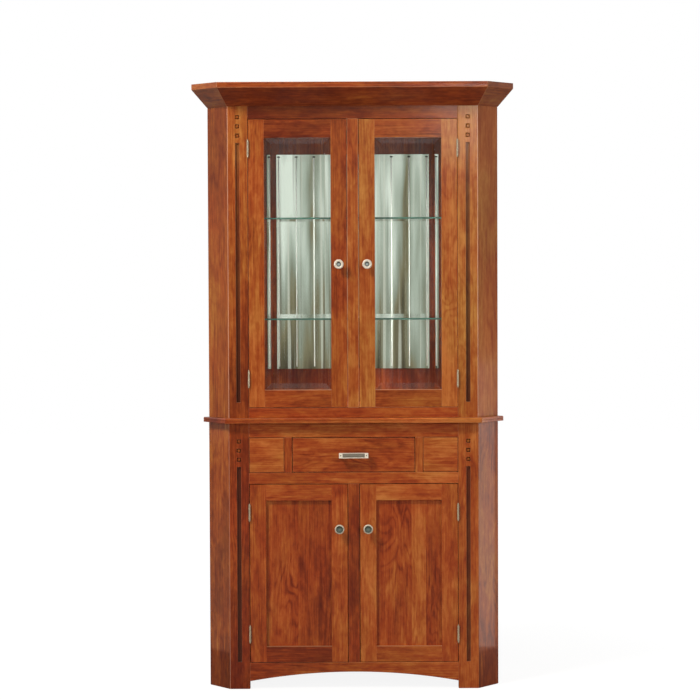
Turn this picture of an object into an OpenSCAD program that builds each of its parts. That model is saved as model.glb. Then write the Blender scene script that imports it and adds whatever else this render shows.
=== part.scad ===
// Corner hutch: a cupboard base with one drawer and two panelled doors, and a glazed
// display case on top of it. The front is flat, two narrow returns turn back at 45
// degrees from it, and the two long walls lie against the walls of a room's corner.
// X runs to the right, Y to the back and Z up. The origin is on the floor, below the
// middle of the outline.

/* [Overall] */
// Height from the floor to the top of the crown
total_h = 2032; // [1950:1:2200]
// Height from the floor to the top of the waist board
base_h = 914; // [880:1:960]
// Width of the flat front, between its two front corners
face_w = 838; // [800:1:900]
// Width of each angled side return
return_w = 100; // [90:1:120]
// Depth of the case, from its flat front to its flat back
body_d = 275; // [265:1:310]

/* [Boards] */
// Thickness of the face frame and of the side returns
frame_t = 19; // [17:0.5:22]
// Thickness of the two long walls
wall_t = 12; // [9:0.5:14]
// Thickness of the flat back
back_t = 12; // [9:0.5:14]
// Thickness of the top, the floors and the wooden shelf
panel_t = 19; // [16:0.5:22]

/* [Face frame] */
// Width of the outer stiles
stile_w = 68; // [62:1:75]
// Width of the post between the doors
mullion_w = 38; // [34:1:46]
// Height of the display case's top rail, which runs up behind the crown
upper_top_rail_h = 117; // [105:1:130]
// Height of the display case's bottom rail
upper_bottom_rail_h = 34; // [28:1:42]
// Height of the rail above the drawer
base_top_rail_h = 47; // [38:1:56]
// Height of the rail between the drawer and the lower doors
base_mid_rail_h = 38; // [32:1:46]
// Height of the arched bottom rail at its ends
base_bottom_rail_h = 63; // [56:1:72]
// Height of the arched rail's ends above the floor
foot_h = 26; // [20:1:34]
// Rise of the arch at its middle
arch_rise = 31; // [22:1:36]
// Height of the drawer bay
drawer_bay_h = 118; // [110:1:128]
// Width of the bay of each false front beside the drawer
false_bay_w = 118.5; // [105:0.5:130]
// Width of the posts beside the drawer
divider_w = 26; // [22:1:32]

/* [Inlaid pegs and grooves] */
// Width of the pegs' recesses and of the groove below them
inlay_w = 13.5; // [10:0.1:16]
// Depth of the groove
groove_depth = 6; // [4:0.5:8]
// Depth of the pegs' recesses
peg_depth = 5; // [4:0.5:7]
// Distance from one peg to the next
peg_pitch = 30.7; // [26:0.1:34]
// Number of pegs in each row
peg_count = 3; // [2:1:4]
// Distance from the crown down to the first peg's middle
upper_peg_drop = 36.5; // [25:0.5:45]
// Distance from the waist board down to the first peg's middle
lower_peg_drop = 60; // [40:0.5:70]
// Distance from the last peg's middle down to the groove
peg_to_groove = 24.5; // [18:0.5:30]
// Distance from the waist board up to the upper groove's end
upper_groove_foot = 52; // [40:1:70]
// Distance from the floor up to the lower groove's end
lower_groove_foot = 91; // [70:1:120]

/* [Crown] */
// Height of the crown
crown_h = 75; // [68:1:84]
// Height of the upright band at the crown's top
crown_band_h = 18.5; // [14:0.5:24]
// How far the crown stands out from the faces
crown_proj = 70; // [60:1:80]
// Thickness of the crown's lower edge
crown_lip = 2; // [1:0.5:4]

/* [Waist board] */
// Thickness of the waist board
waist_t = 19; // [17:0.5:24]
// How far the waist board stands out from the faces
waist_proj = 24; // [20:1:30]
// Height of the sloping underside of its edge
waist_slope_h = 3; // [2:0.5:6]
// Width of the fine groove along its edge
waist_line_w = 2; // [1:0.5:2.5]
// Size of the chamfer along its upper edge
waist_chamfer = 2.5; // [1:0.5:3]

/* [Doors] */
// Thickness of the doors and of the drawer front
door_t = 19; // [17:0.5:22]
// Gap round each door and round the drawer front
reveal = 2; // [1.6:0.1:3]
// Width of the upper doors' stiles
upper_door_stile_w = 52.5; // [48:0.5:58]
// Height of the upper doors' top rail
upper_door_top_rail_h = 62; // [58:1:74]
// Height of the upper doors' bottom rail
upper_door_bottom_rail_h = 58; // [50:1:66]
// Width of the lower doors' stiles
lower_door_stile_w = 54; // [48:0.5:60]
// Height of the lower doors' top rail
lower_door_top_rail_h = 54; // [48:1:60]
// Height of the lower doors' bottom rail
lower_door_bottom_rail_h = 53; // [48:1:60]
// Depth of the grooves that hold the panes and the panels
seat_depth = 9; // [7:0.5:11]
// Thickness of the glass panes
glass_t = 8; // [6.5:0.5:9]
// Thickness of the panes' edges, beyond the bevel
glass_edge_t = 2.4; // [2:0.1:3]
// Width of the panes' bevel that shows
bevel_w = 21; // [16:0.5:28]
// Depth of the panes' back face behind the doors' front
glass_back = 13; // [12:0.5:14.5]
// Thickness of the lower doors' wooden panels
door_panel_t = 6; // [5:0.5:6.5]
// Depth of those panels' front behind the doors' front
door_panel_set = 9; // [7:0.5:9.5]

/* [Hinges] */
// Length of the hinges
hinge_h = 52; // [46:0.5:70]
// Radius of the hinge barrels
barrel_r = 3.2; // [2.8:0.1:3.8]
// Radius of the hinge pins
pin_r = 1.5; // [1.2:0.1:1.9]
// Thickness of the hinge leaves
leaf_t = 1.8; // [1.6:0.1:2.2]
// How far the leaves reach back into the wood
leaf_w = 15; // [12:0.5:16]
// Distance from an upper door's top to its top hinge's middle
upper_hinge_top = 97; // [80:1:140]
// Distance from an upper door's bottom to its bottom hinge's middle
upper_hinge_bottom = 95; // [70:1:130]
// Distance from a lower door's ends to its hinges' middles
lower_hinge_inset = 94; // [70:1:120]

/* [Knobs] */
// Diameter of the knobs
knob_d = 32; // [28:1:36]
// How far the knobs stand out from the doors
knob_proj = 25; // [21:1:28]
// Height of the upper doors' knobs above the floor
upper_knob_z = 1429; // [1300:1:1550]
// Height of the lower doors' knobs above the floor
lower_knob_z = 541; // [400:1:580]
// Radius of the screws that hold the knobs and the drawer pull
screw_r = 2; // [1.5:0.1:2.5]

/* [Catches] */
// Height of the magnetic catches
catch_h = 44; // [36:1:56]
// Distance from the doorways' top down to the catches' middle
catch_drop = 60; // [40:1:90]
// Depth of the catches, from the doors back
catch_d = 13; // [10:0.5:18]
// How far the catches reach over the doors and over the post
catch_reach = 13; // [10:0.5:15]
// Thickness of the steel strikes let into the doors
strike_t = 1.2; // [1:0.1:2]

/* [Drawer] */
// Height of the drawer's box
drawer_box_h = 88; // [75:1:95]
// Length of the drawer's box, behind its front
drawer_box_l = 218; // [180:1:225]
// Thickness of the drawer's sides and back
drawer_side_t = 12; // [10:0.5:15]
// Thickness of the drawer's bottom
drawer_bottom_t = 6; // [4:0.5:8]
// Height of the groove for the drawer's bottom
drawer_bottom_lift = 9; // [7:0.5:14]
// Depth of the groove for the drawer's bottom
drawer_groove = 5; // [3:0.5:6]
// How far the drawer's front stands past its sides
drawer_front_lap = 4; // [3:0.5:8]
// Thickness of the runners' lower board
runner_t = 19; // [15:0.5:24]
// Width of the runners' lower board
runner_w = 38; // [30:1:46]
// Thickness of the runners' upright guide
guide_t = 12; // [8:0.5:16]
// Height of the runners' upright guide
guide_h = 38; // [25:1:50]

/* [Drawer pull] */
// Length of the pull
pull_l = 98; // [85:1:120]
// Height of the pull
pull_h = 17.5; // [15:0.5:22]
// Thickness of the pull's bar
pull_t = 7; // [6:0.5:9]
// How far the pull stands out from the drawer's front
pull_proj = 26; // [22:1:30]
// Length of the plain square block at each end of the bar
pull_end_l = 12; // [10:0.5:16]
// Number of reeds along the middle of the bar
pull_reeds = 3; // [2:1:5]

/* [Glass shelves and mirror] */
// Thickness of the glass shelves
glass_shelf_t = 6; // [5:0.5:8]
// Height of the lower glass shelf's underside above the floor
glass_shelf_low = 1241; // [1180:1:1300]
// Height of the upper glass shelf's underside above the floor
glass_shelf_high = 1580; // [1500:1:1640]
// Distance from the case's front to the glass shelves' front edge
glass_shelf_set = 35; // [30:1:60]
// Distance from the mirror's upright edges to the walls
mirror_margin = 15.5; // [8:0.5:30]
// Height of the mirror
mirror_h = 744; // [650:1:800]
// Height of the mirror's lower edge above the floor
mirror_foot = 1064; // [1040:1:1080]
// Thickness of the mirror
mirror_t = 5; // [4:0.5:6]
// Distance between the mirror's cut lines
cut_pitch = 61.2; // [50:0.1:62]
// Number of cut lines in each half of the mirror
cut_count = 4; // [2:1:4]
// Distance from the mirror's edges to its outermost cut lines and their ends
cut_margin = 8; // [5:0.5:15]
// Width of the cut lines
cut_w = 4; // [2:0.5:5]

/* [Wooden shelf and shelf pins] */
// Height of the wooden shelf's underside above the floor
shelf_z = 372; // [300:1:430]
// Radius of the shelf pins
shelf_pin_r = 2.5; // [2:0.5:3]
// Depth of the pins' holes in the walls
shelf_pin_hole = 8; // [5:0.5:8.5]
// Length of the pins' pads under the shelves
pad_l = 12; // [9:0.5:16]
// Thickness of the pins' pads
pad_t = 3; // [2:0.5:4]
// Distance from the walls' ends to the pins
pin_inset = 45; // [30:1:60]

/* [Hidden] */
$fn = 64;
// Running clearance of pins and screws in their holes
fit = 0.05;
// Clearance of loose pieces
slack = 0.2;
// Clearance of the shelves round their edges
shelf_slack = 1.5;
// How far cutting shapes run past the faces that they cut
over = 1;
// How far the waist board's moulded edge reaches into the board
waist_root = 5;
// Hairline between the boards of a door
joint = 0.05;
c45 = cos(45);
tan225 = tan(22.5);
half_w = face_w / 2;
return_s = return_w * c45;
total_d = body_d + crown_proj;
face_y = crown_proj - total_d / 2;
back_y = total_d / 2;
frame_back_y = face_y + frame_t;
wall_sum = half_w + 2 * return_s + face_y;
open_half = half_w - stile_w;
mullion_half = mullion_w / 2;
base_case_h = base_h - waist_t;
crown_z = total_h - crown_h;
upper_open_z0 = base_h + upper_bottom_rail_h;
upper_open_z1 = total_h - upper_top_rail_h;
lower_open_z0 = foot_h + base_bottom_rail_h;
drawer_bay_z1 = base_case_h - base_top_rail_h;
drawer_bay_z0 = drawer_bay_z1 - drawer_bay_h;
lower_open_z1 = drawer_bay_z0 - base_mid_rail_h;
drawer_bay_half = open_half - false_bay_w - divider_w;
door_x0 = mullion_half + reveal;
door_x1 = open_half - reveal;
drawer_front_half = drawer_bay_half - reveal;
drawer_box_half = drawer_front_half - drawer_front_lap;
drawer_z0 = drawer_bay_z0 + slack;
drawer_back_y = face_y + door_t + drawer_box_l;
drawer_bottom_z1 = drawer_z0 + drawer_bottom_lift + drawer_bottom_t;
stile_mid = half_w - stile_w / 2;
hinge_x = open_half - reveal / 2;
hinge_y = face_y - barrel_r - slack;
leaf_gap = 0.1;
knuckles = 5;
knuckle_h = hinge_h / knuckles;
mirror_y = back_y - back_t - mirror_t;
mirror_half = wall_sum - back_y + back_t - wall_t / c45 - mirror_margin;
hinge_zs = [
    upper_open_z1 - reveal - upper_hinge_top,
    upper_open_z0 + reveal + upper_hinge_bottom,
    lower_open_z1 - reveal - lower_hinge_inset,
    lower_open_z0 + reveal + lower_hinge_inset
];
upper_knob_x = door_x0 + upper_door_stile_w / 2;
lower_knob_x = door_x0 + lower_door_stile_w / 2;

// Points of the right half of the plan. p is how far a face stands out, or in where it
// is negative, and q is how far inside the wall's outer face the point is.
function corner(p) = [half_w + p * tan225, face_y - p];
function tip(p, q) = [half_w + return_s + (p - q) * c45, face_y + return_s - (p + q) * c45];
function on_wall(y, q) = [wall_sum - y - q / c45, y];

// A whole outline from the points of its right half, given from the front to the back
function both(pts) = concat(pts, [for (i = [len(pts) - 1:-1:0]) [-pts[i][0], pts[i][1]]]);

// Outline of the case's inside, with room left round a loose shelf
function inside(front_y, gap, back_gap) = both([
    [corner(-frame_t - gap)[0] + (front_y - frame_back_y - gap), front_y],
    tip(-frame_t - gap, wall_t + gap),
    on_wall(back_y - back_t - back_gap, wall_t + gap)
]);

// A plan outline raised to a height
module slab(pts, z0, h) {
    translate([0, 0, z0]) linear_extrude(h) polygon(pts);
}

// The children on the right side, or mirrored to the left
module side(right) {
    if (right) children();
    else mirror([1, 0, 0]) children();
}

// A block between two corners
module block(a, b) {
    translate(a) cube(b - a);
}

// A profile, drawn outward and up, run along the front and cut to the mitres. root is
// how far it reaches in behind the face.
module front_run(reach, z0, h, root = 0) {
    intersection() {
        translate([-half_w - reach, face_y, z0])
            rotate([90, 0, 90]) linear_extrude(face_w + 2 * reach) children();
        slab(both([corner(reach + over), corner(-root)]), z0 - over, h + 2 * over);
    }
}

// The same profile run along the right return, from the mitre to the wall
module return_run(reach, z0, h, root = 0) {
    intersection() {
        translate([half_w, face_y, z0]) rotate([0, 0, 45])
            translate([-reach, 0, 0])
                rotate([90, 0, 90]) linear_extrude(return_w + reach) children();
        slab([corner(reach + over), corner(-root), tip(-root, 0), tip(reach + over, 0)],
            z0 - over, h + 2 * over);
    }
}

module crown_profile() {
    polygon([
        [0, 0],
        [-crown_lip, 0],
        [-crown_proj, crown_h - crown_band_h],
        [-crown_proj, crown_h],
        [0, crown_h]
    ]);
}

module crown_front() {
    color("sienna") front_run(crown_proj, crown_z, crown_h) crown_profile();
}

module crown_side(right) {
    color("sienna") side(right)
        return_run(crown_proj, crown_z, crown_h) crown_profile();
}

// Waist board

module waist_profile() {
    line_z = (waist_t + waist_slope_h) / 2;
    polygon([
        [waist_root, 0],
        [0, 0],
        [-waist_proj, waist_slope_h],
        [-waist_proj, line_z - waist_line_w / 2],
        [-waist_proj + waist_line_w / 2, line_z],
        [-waist_proj, line_z + waist_line_w / 2],
        [-waist_proj, waist_t - waist_chamfer],
        [-waist_proj + waist_chamfer, waist_t],
        [waist_root, waist_t]
    ]);
}

module waist_board() {
    color("chocolate") union() {
        slab(both([corner(0), tip(0, 0), on_wall(back_y, 0)]), base_case_h, waist_t);
        front_run(waist_proj, base_case_h, waist_t, waist_root) waist_profile();
        for (right = [true, false]) side(right)
            return_run(waist_proj, base_case_h, waist_t, waist_root) waist_profile();
    }
}

// Boards that both cases have

// A stile with its mitred edge, its recesses, its groove and its hinge pockets
module stile(z0, z1, first_peg_z, groove_z0) {
    last_peg_z = first_peg_z - (peg_count - 1) * peg_pitch;
    groove_z1 = last_peg_z - peg_to_groove;
    difference() {
        slab([[open_half, face_y], corner(0), corner(-frame_t), [open_half, frame_back_y]],
            z0, z1 - z0);
        for (i = [0:peg_count - 1])
            block([stile_mid - inlay_w / 2, face_y - over,
                    first_peg_z - i * peg_pitch - inlay_w / 2],
                [stile_mid + inlay_w / 2, face_y + peg_depth,
                    first_peg_z - i * peg_pitch + inlay_w / 2]);
        block([stile_mid - inlay_w / 2, face_y - over, groove_z0],
            [stile_mid + inlay_w / 2, face_y + groove_depth, groove_z1]);
        for (z = hinge_zs) if (z > z0 && z < z1) leaf_pocket(1, z);
    }
}

module return_board(z0, z1) {
    slab([corner(0), tip(0, 0), tip(-frame_t, 0), corner(-frame_t)], z0, z1 - z0);
}

// A long wall, with the holes for its shelf pins
module wall(z0, z1, pin_zs) {
    difference() {
        slab([tip(-frame_t, 0), on_wall(back_y - back_t, 0),
            on_wall(back_y - back_t, wall_t), tip(-frame_t, wall_t)], z0, z1 - z0);
        for (z = pin_zs) at_pins(z) translate([0, 0, -over])
            cylinder(r = shelf_pin_r + fit, h = shelf_pin_hole + over);
    }
}

module back(z0, z1) {
    slab(both([on_wall(back_y - back_t, 0), on_wall(back_y, 0)]), z0, z1 - z0);
}

// A straight rail or post of the face frame
module frame_board(x0, x1, z0, z1) {
    block([x0, face_y, z0], [x1, frame_back_y, z1]);
}

// Display case

upper_pin_zs = [glass_shelf_low, glass_shelf_high];

module upper_stile() {
    stile(base_h, total_h, crown_z - upper_peg_drop, base_h + upper_groove_foot);
}

module upper_stile_left() { color("sienna") side(false) upper_stile(); }
module upper_stile_right() { color("sienna") side(true) upper_stile(); }

module upper_top_rail() {
    color("sienna") frame_board(-open_half, open_half, upper_open_z1, total_h);
}

module upper_bottom_rail() {
    color("sienna") frame_board(-open_half, open_half, base_h, upper_open_z0);
}

module upper_mullion() {
    color("sienna") frame_board(-mullion_half, mullion_half, upper_open_z0, upper_open_z1);
}

module upper_side_left() { color("sienna") side(false) return_board(base_h, total_h); }
module upper_side_right() { color("sienna") side(true) return_board(base_h, total_h); }

module upper_wall_left() {
    color("peru") side(false) wall(base_h, total_h, upper_pin_zs);
}

module upper_wall_right() {
    color("peru") side(true) wall(base_h, total_h, upper_pin_zs);
}

module upper_back() { color("peru") back(base_h, total_h); }

module upper_top() {
    color("peru") slab(inside(frame_back_y, 0, 0), total_h - panel_t, panel_t);
}

module upper_floor() {
    color("peru") slab(inside(frame_back_y, 0, 0), upper_open_z0 - panel_t, panel_t);
}

// The mirror lies flat on the back, with upright lines cut into its face
module back_mirror() {
    cut = cut_w * c45;
    color("lightsteelblue") difference() {
        block([-mirror_half, mirror_y, mirror_foot],
            [mirror_half, mirror_y + mirror_t, mirror_foot + mirror_h]);
        for (right = [true, false]) side(right) for (i = [0:cut_count - 1])
            translate([mirror_half - cut_margin - i * cut_pitch, mirror_y,
                mirror_foot + cut_margin])
                rotate([0, 0, 45]) translate([-cut / 2, -cut / 2, 0])
                    cube([cut, cut, mirror_h - 2 * cut_margin]);
    }
}

module glass_shelves() {
    color("honeydew", 0.5) for (z = upper_pin_zs)
        slab(inside(face_y + glass_shelf_set, shelf_slack, mirror_t + shelf_slack),
            z, glass_shelf_t);
}

// Children at the four shelf pins' places, with Z pointing into the wall
module at_pins(z) {
    wall_l = (tip(-frame_t, wall_t)[0] - on_wall(back_y - back_t, wall_t)[0]) / c45;
    for (d = [pin_inset, wall_l - pin_inset])
        translate([tip(-frame_t, wall_t)[0] - d * c45, tip(-frame_t, wall_t)[1] + d * c45,
            z - pad_t / 2])
            rotate([0, 0, 45]) rotate([0, 90, 0]) children();
}

module shelf_pin() {
    union() {
        translate([0, 0, -over])
            cylinder(r = shelf_pin_r, h = shelf_pin_hole + over - slack);
        translate([-pad_t / 2, -shelf_pin_r * 1.6, -pad_l - slack])
            cube([pad_t, shelf_pin_r * 3.2, pad_l]);
    }
}

module shelf_pins() {
    color("silver") for (right = [true, false]) side(right)
        for (z = concat(upper_pin_zs, [shelf_z])) at_pins(z) shelf_pin();
}

module peg_section() {
    half = inlay_w / 2 - slack;
    rise = peg_depth - over;
    polygon([[-half, 0], [half, 0], [half, rise / 3], [half / 2, rise],
        [-half / 2, rise], [-half, rise / 3]]);
}

// A square peg with sloping edges, on the bottom of its recess
module peg(z) {
    translate([stile_mid, face_y + peg_depth, z]) intersection() {
        translate([0, 0, -inlay_w / 2]) linear_extrude(inlay_w) rotate(180) peg_section();
        translate([-inlay_w / 2, 0, 0]) rotate([90, 0, 90])
            linear_extrude(inlay_w) rotate(90) peg_section();
    }
}

module inlay_pegs() {
    color("tan") for (right = [true, false]) side(right)
        for (top = [crown_z - upper_peg_drop, base_case_h - lower_peg_drop])
            for (i = [0:peg_count - 1]) peg(top - i * peg_pitch);
}

module crown_left() { crown_side(false); }
module crown_right() { crown_side(true); }

// Base

module base_stile() {
    stile(0, base_case_h, base_case_h - lower_peg_drop, lower_groove_foot);
}

module base_stile_left() { color("sienna") side(false) base_stile(); }
module base_stile_right() { color("sienna") side(true) base_stile(); }

module base_top_rail() {
    color("sienna") frame_board(-open_half, open_half, drawer_bay_z1, base_case_h);
}

module base_mid_rail() {
    color("sienna") frame_board(-open_half, open_half, lower_open_z1, drawer_bay_z0);
}

// The bottom rail, with the arch cut out of its underside
module base_bottom_rail() {
    arch_r = (open_half * open_half + arch_rise * arch_rise) / (2 * arch_rise);
    color("sienna") difference() {
        frame_board(-open_half, open_half, foot_h, lower_open_z0);
        translate([0, frame_back_y + over, foot_h + arch_rise - arch_r])
            rotate([90, 0, 0]) cylinder(r = arch_r, h = frame_t + 2 * over, $fn = 256);
    }
}

module base_mullion() {
    color("sienna") frame_board(-mullion_half, mullion_half, lower_open_z0, lower_open_z1);
}

module drawer_dividers() {
    color("sienna") for (right = [true, false]) side(right)
        frame_board(drawer_bay_half, drawer_bay_half + divider_w, drawer_bay_z0, drawer_bay_z1);
}

// A fixed front that fills its bay at the back and leaves a fine line round its face
module false_front() {
    x0 = open_half - false_bay_w;
    lap = frame_t / 2;
    line = reveal * 0.75;
    union() {
        block([x0, face_y + lap, drawer_bay_z0], [open_half, frame_back_y, drawer_bay_z1]);
        block([x0 + line, face_y, drawer_bay_z0 + line],
            [open_half - line, face_y + lap, drawer_bay_z1 - line]);
    }
}

module false_fronts() {
    color("chocolate") for (right = [true, false]) side(right) false_front();
}

module base_side_left() { color("sienna") side(false) return_board(0, base_case_h); }
module base_side_right() { color("sienna") side(true) return_board(0, base_case_h); }
module base_wall_left() { color("peru") side(false) wall(0, base_case_h, [shelf_z]); }
module base_wall_right() { color("peru") side(true) wall(0, base_case_h, [shelf_z]); }
module base_back() { color("peru") back(0, base_case_h); }

module base_floor() {
    color("peru") slab(inside(frame_back_y, 0, 0), lower_open_z0 - panel_t, panel_t);
}

module base_shelf() {
    color("peru") slab(inside(frame_back_y + shelf_slack, shelf_slack, shelf_slack),
        shelf_z, panel_t);
}

// An L-shaped runner under each side of the drawer, with a stop behind the drawer
module drawer_runners() {
    guide_x = drawer_box_half + over;
    color("burlywood") for (right = [true, false]) side(right) union() {
        block([guide_x + guide_t - runner_w, frame_back_y, drawer_bay_z0 - runner_t],
            [guide_x + guide_t, back_y - back_t, drawer_bay_z0]);
        block([guide_x, frame_back_y, drawer_bay_z0 - over],
            [guide_x + guide_t, back_y - back_t, drawer_bay_z0 + guide_h]);
        block([guide_x + guide_t - runner_w, drawer_back_y + slack, drawer_bay_z0 - over],
            [guide_x + over, back_y - back_t, drawer_bay_z0 + guide_h / 2]);
    }
}

// Hinges

// The shallow pocket for a leaf, in the stile where dir is 1 or in the door where it is -1
module leaf_pocket(dir, z) {
    x0 = hinge_x + dir * (leaf_gap + leaf_t);
    x1 = hinge_x - dir * over;
    block([min(x0, x1), face_y - over, z - hinge_h / 2 - slack],
        [max(x0, x1), face_y + leaf_w + slack, z + hinge_h / 2 + slack]);
}

// A leaf with every second knuckle, its plate on the side that dir gives
module hinge_leaf(dir, first) {
    plate_y0 = barrel_r + 1.5 * slack;
    x0 = min(dir * leaf_gap, dir * (leaf_gap + leaf_t));
    difference() {
        union() {
            for (k = [first:2:knuckles - 1])
                translate([0, 0, k * knuckle_h - hinge_h / 2 + slack / 2]) {
                    cylinder(r = barrel_r, h = knuckle_h - slack);
                    translate([x0, 0, 0]) cube([leaf_t, plate_y0 + over, knuckle_h - slack]);
                }
            translate([x0, plate_y0, -hinge_h / 2])
                cube([leaf_t, face_y + leaf_w - hinge_y - plate_y0, hinge_h]);
        }
        translate([0, 0, -hinge_h / 2 - over])
            cylinder(r = pin_r + fit, h = hinge_h + 2 * over);
    }
}

// A pin with a small turned knob at each end
module hinge_pin() {
    union() {
        cylinder(r = pin_r, h = hinge_h, center = true);
        for (end = [-1, 1]) {
            translate([0, 0, end * (hinge_h / 2 + 0.5)])
                cylinder(r = barrel_r * 0.85, h = 1, center = true);
            translate([0, 0, end * (hinge_h / 2 + 2.5)]) sphere(r = barrel_r * 0.72);
        }
    }
}

module at_hinges(right, zs) {
    side(right) for (z = zs) translate([hinge_x, hinge_y, z]) children();
}

module hinge_frame_leaves() {
    color("silver") for (right = [true, false]) at_hinges(right, hinge_zs) hinge_leaf(1, 0);
}

module hinge_pins() {
    color("gainsboro") for (right = [true, false]) at_hinges(right, hinge_zs) hinge_pin();
}

// A magnetic catch on the back of the post, reaching over the door's edge
module catch(open_z1) {
    z0 = open_z1 - catch_drop - catch_h / 2;
    catch_back_y = face_y + max(frame_t, door_t) + catch_d;
    union() {
        block([mullion_half - catch_reach, frame_back_y, z0],
            [mullion_half, catch_back_y, z0 + catch_h]);
        block([mullion_half, face_y + door_t + slack, z0],
            [door_x0 + catch_reach, catch_back_y, z0 + catch_h]);
    }
}

module door_catches() {
    color("dimgray") for (right = [true, false]) side(right)
        for (z = [upper_open_z1, lower_open_z1]) catch(z);
}

// Drawer

module drawer_front() {
    z0 = drawer_bay_z0 + reveal;
    z1 = drawer_bay_z1 - reveal;
    color("chocolate") difference() {
        block([-drawer_front_half, face_y, z0], [drawer_front_half, face_y + door_t, z1]);
        block([-drawer_box_half + drawer_side_t - drawer_groove, face_y + door_t - drawer_groove,
                drawer_z0 + drawer_bottom_lift],
            [drawer_box_half - drawer_side_t + drawer_groove, face_y + door_t + over,
                drawer_bottom_z1]);
        at_pull_screws() screw_hole(door_t);
    }
}

module drawer_sides() {
    color("burlywood") for (right = [true, false]) side(right) difference() {
        block([drawer_box_half - drawer_side_t, face_y + door_t, drawer_z0],
            [drawer_box_half, drawer_back_y, drawer_z0 + drawer_box_h]);
        block([drawer_box_half - drawer_side_t - over, face_y + door_t - over,
                drawer_z0 + drawer_bottom_lift],
            [drawer_box_half - drawer_side_t + drawer_groove, drawer_back_y + over,
                drawer_bottom_z1]);
    }
}

module drawer_back() {
    inner_half = drawer_box_half - drawer_side_t;
    color("burlywood") block([-inner_half, drawer_back_y - drawer_side_t, drawer_bottom_z1],
        [inner_half, drawer_back_y, drawer_z0 + drawer_box_h]);
}

module drawer_bottom() {
    half = drawer_box_half - drawer_side_t + drawer_groove - slack;
    color("wheat") block([-half, face_y + door_t - drawer_groove + slack,
            drawer_z0 + drawer_bottom_lift],
        [half, drawer_back_y, drawer_bottom_z1]);
}

pull_z = (drawer_bay_z0 + drawer_bay_z1) / 2;
pull_screw_x = (pull_l - pull_end_l) / 2;

module at_pull_screws() {
    for (x = [-pull_screw_x, pull_screw_x]) translate([x, face_y, pull_z]) children();
}

// A hole right through a board of thickness t, from its front
module screw_hole(t) {
    translate([0, t + over, 0]) rotate([90, 0, 0])
        cylinder(r = screw_r + slack, h = t + 2 * over);
}

// A screw with its head on the back of a board, its end in a piece on the front
module screw(t, reach) {
    translate([0, t, 0]) rotate([90, 0, 0]) union() {
        translate([0, 0, -over]) cylinder(r = screw_r, h = t + reach + over);
        translate([0, 0, -screw_r * 1.2]) cylinder(r = screw_r * 2.2, h = screw_r * 1.2);
    }
}

screw_reach = 10;

// A flat bar on two square feet, reeded between its plain ends
module pull_bar() {
    reed_l = pull_l - 2 * pull_end_l;
    reed_h = (pull_h - 4) / pull_reeds;
    difference() {
        union() {
            translate([-pull_l / 2, -pull_proj, -pull_h / 2]) cube([pull_l, pull_t, pull_h]);
            for (x = [-pull_screw_x, pull_screw_x])
                translate([x - pull_end_l / 2 + 1, -pull_proj + pull_t - over, -pull_h / 2 + 2])
                    cube([pull_end_l - 2, pull_proj - pull_t + over, pull_h - 4]);
        }
        for (i = [0:pull_reeds])
            translate([-reed_l / 2, -pull_proj, (i - pull_reeds / 2) * reed_h])
                rotate([45, 0, 0]) translate([0, -0.7, -0.7]) cube([reed_l, 1.4, 1.4]);
        for (x = [-pull_screw_x, pull_screw_x]) translate([x, over, 0]) rotate([90, 0, 0])
            cylinder(r = screw_r + fit, h = screw_reach + 2 * over);
    }
}

module drawer_pull() {
    color("silver") {
        translate([0, face_y, pull_z]) pull_bar();
        at_pull_screws() screw(door_t, screw_reach);
    }
}

// Doors. Each module draws the right-hand door, and side() mirrors it for the left.

// Two stiles and two rails. The rails' tongues and the pane or panel sit in one groove.
module door_frame(z0, z1, stile, top_h, bottom_h, groove_y, groove_t, knob_z, hinges) {
    x0 = door_x0;
    x1 = door_x1;
    gy0 = face_y + groove_y;
    tongue = seat_depth - slack;
    difference() {
        union() {
            block([x0, face_y, z0], [x0 + stile, face_y + door_t, z1]);
            block([x1 - stile, face_y, z0], [x1, face_y + door_t, z1]);
        }
        block([x0 + stile - seat_depth, gy0, z0 - over],
            [x1 - stile + seat_depth, gy0 + groove_t, z1 + over]);
        translate([x0 + stile / 2, face_y, knob_z]) screw_hole(door_t);
        strike_pocket(z1 + reveal);
        for (z = hinges) leaf_pocket(-1, z);
    }
    for (rail = [[z0, z0 + bottom_h, z0 + bottom_h - seat_depth, z0 + bottom_h + over],
            [z1 - top_h, z1, z1 - top_h - over, z1 - top_h + seat_depth]])
        difference() {
            union() {
                block([x0 + stile + joint, face_y, rail[0]],
                    [x1 - stile - joint, face_y + door_t, rail[1]]);
                block([x0 + stile - tongue, gy0 + slack / 2, rail[0]],
                    [x1 - stile + tongue, gy0 + groove_t - slack / 2, rail[1]]);
            }
            block([x0, gy0, rail[2]], [x1, gy0 + groove_t, rail[3]]);
        }
}

module strike_pocket(open_z1) {
    block([door_x0 - over, face_y + door_t - strike_t, open_z1 - catch_drop - catch_h / 2],
        [door_x0 + catch_reach, face_y + door_t + over, open_z1 - catch_drop + catch_h / 2]);
}

// Hinge leaves and the catch's strike, all let into the door
module door_fittings(open_z1, hinges) {
    for (z = hinges) translate([hinge_x, hinge_y, z]) hinge_leaf(-1, 1);
    block([door_x0, face_y + door_t - strike_t, open_z1 - catch_drop - catch_h / 2 + slack],
        [door_x0 + catch_reach - slack, face_y + door_t,
            open_z1 - catch_drop + catch_h / 2 - slack]);
}

// A round knob on a short neck, with a broad rim round a dished middle
module knob_body() {
    r = knob_d / 2;
    difference() {
        rotate([90, 0, 0]) rotate_extrude() polygon([
            [0, 0],
            [r * 0.5, 0],
            [r * 0.5, 2],
            [r * 0.34, 4],
            [r * 0.34, knob_proj - 11],
            [r * 0.8, knob_proj - 8],
            [r, knob_proj - 5],
            [r, knob_proj - 3],
            [r * 0.84, knob_proj],
            [r * 0.68, knob_proj],
            [r * 0.56, knob_proj - 2],
            [0, knob_proj - 2.5]
        ]);
        translate([0, over, 0]) rotate([90, 0, 0])
            cylinder(r = screw_r + fit, h = screw_reach + 2 * over);
    }
}

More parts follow.
